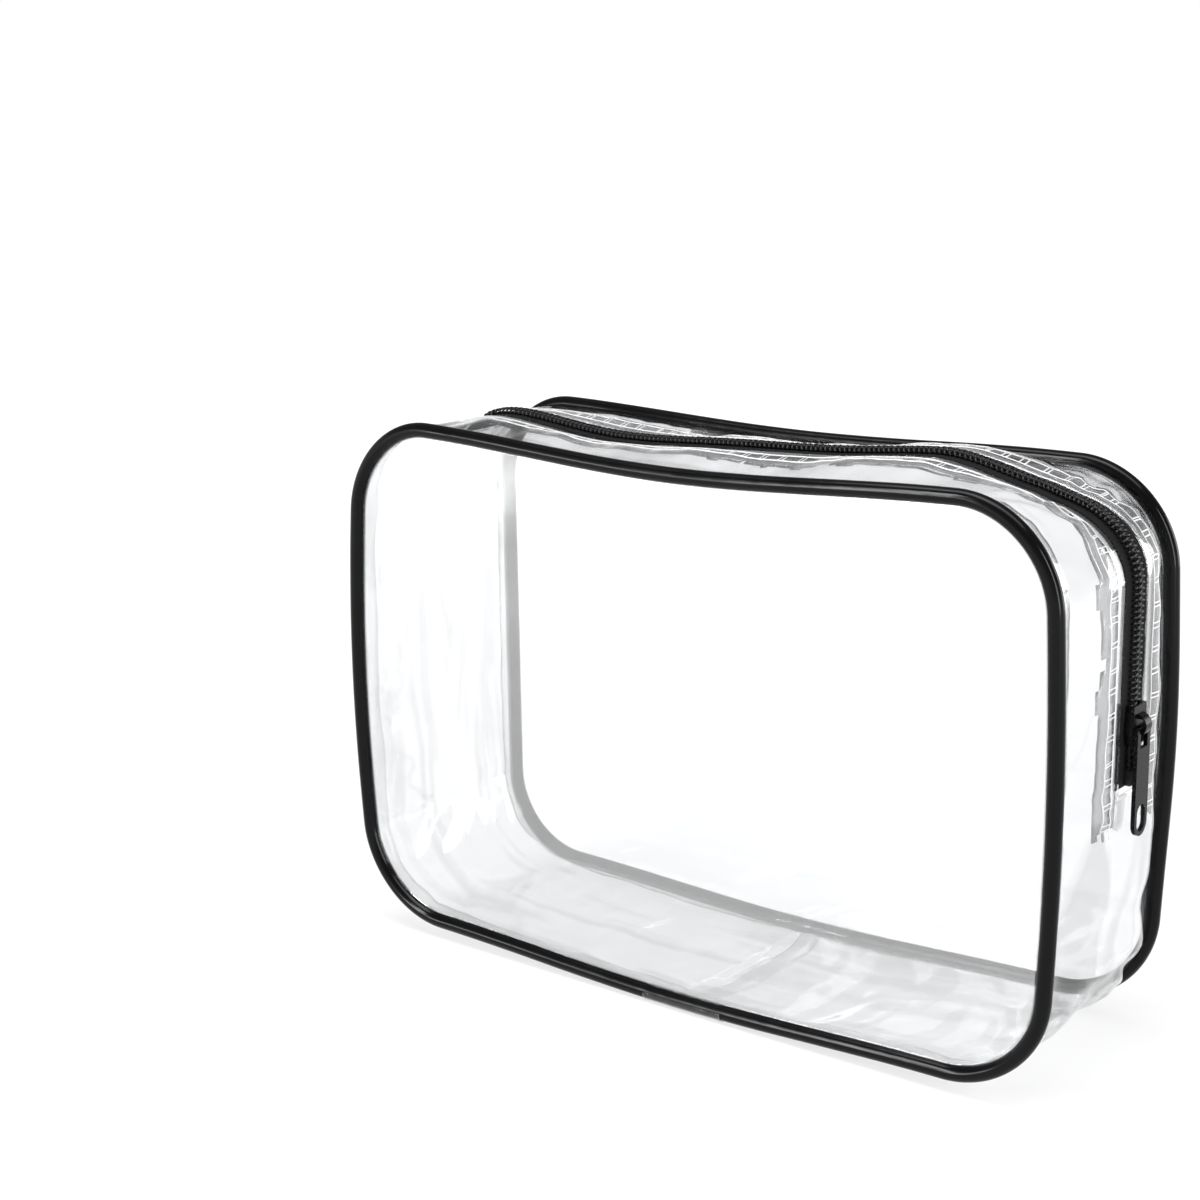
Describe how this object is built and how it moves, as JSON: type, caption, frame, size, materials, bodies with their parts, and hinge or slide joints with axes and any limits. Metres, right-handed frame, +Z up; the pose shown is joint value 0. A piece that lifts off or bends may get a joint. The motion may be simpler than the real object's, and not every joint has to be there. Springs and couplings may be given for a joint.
{
  "type": "makeup bag",
  "caption": "Clear film makeup bag with rounded corners, black piping and a coil zip along the top and down one side, with a slider and pull tab; holds toiletries.",
  "frame": {"origin": "centre of the bottom of the bounding box, which the bag stands on", "axes": "+X along the width, towards the side with the zip slider; -Y is the front panel; +Z up"},
  "size_m": [0.3006, 0.0896, 0.1972],
  "materials": {
    "clear_film": "clear gloss film",
    "seam_film": "layered translucent film",
    "clear_sleeve": "clear gloss film",
    "zip_flange": "clear film with a welded ladder pattern",
    "black_piping": "gloss",
    "zip_tape": "woven polyester",
    "zip_coil": "satin nylon",
    "zip_stop": "satin",
    "slider_enamel": "semi-gloss enamel"
  },
  "bodies": {
    "root": {"gusset_band": "clear_film", "rear_panel": "clear_film", "front_panel": "clear_film", "gusset_lap_joint": "clear_film", "front_splice_sleeve": "clear_sleeve", "rear_splice_sleeve": "clear_sleeve", "front_seam_allowance": "seam_film", "rear_seam_allowance": "seam_film", "front_piping": "black_piping", "rear_piping": "black_piping", "front_zip_tape_ends": "zip_tape", "rear_zip_tape": "zip_tape", "front_zip_flange_ends": "zip_flange", "rear_zip_flange": "zip_flange", "front_coil_end": "zip_coil", "rear_coil": "zip_coil", "front_top_stop": "zip_stop", "rear_top_stop": "zip_stop", "zip_bottom_stop": "zip_stop"},
    "mouth": {"mouth_panel": "clear_film", "mouth_gusset_strip": "clear_film", "mouth_seam_allowance": "seam_film", "mouth_piping": "black_piping", "mouth_zip_tape": "zip_tape", "mouth_zip_flange": "zip_flange", "mouth_coil": "zip_coil"},
    "slider": {"slider_body": "slider_enamel", "slider_crown": "slider_enamel"},
    "pull": {"pull_tab": "slider_enamel"}
  },
  "joints": [
    {"name": "mouth_fold", "type": "hinge", "parent": "root", "child": "mouth", "pos_m": [-0.12125, -0.0445, 0.19515], "axis": [0.9706, 0, -0.2407], "range_deg": [0, 40], "stiffness_Nm_per_rad": 0.02},
    {"name": "slider_travel", "type": "slide", "parent": "root", "child": "slider", "axis": [0, 0, 1], "range_m": [-0.008, 0.0345]},
    {"name": "pull_swing", "type": "hinge", "parent": "slider", "child": "pull", "pos_m": [0.14805, 0, 0.12], "axis": [0, -1, 0], "range_deg": [0, 165]}
  ]
}
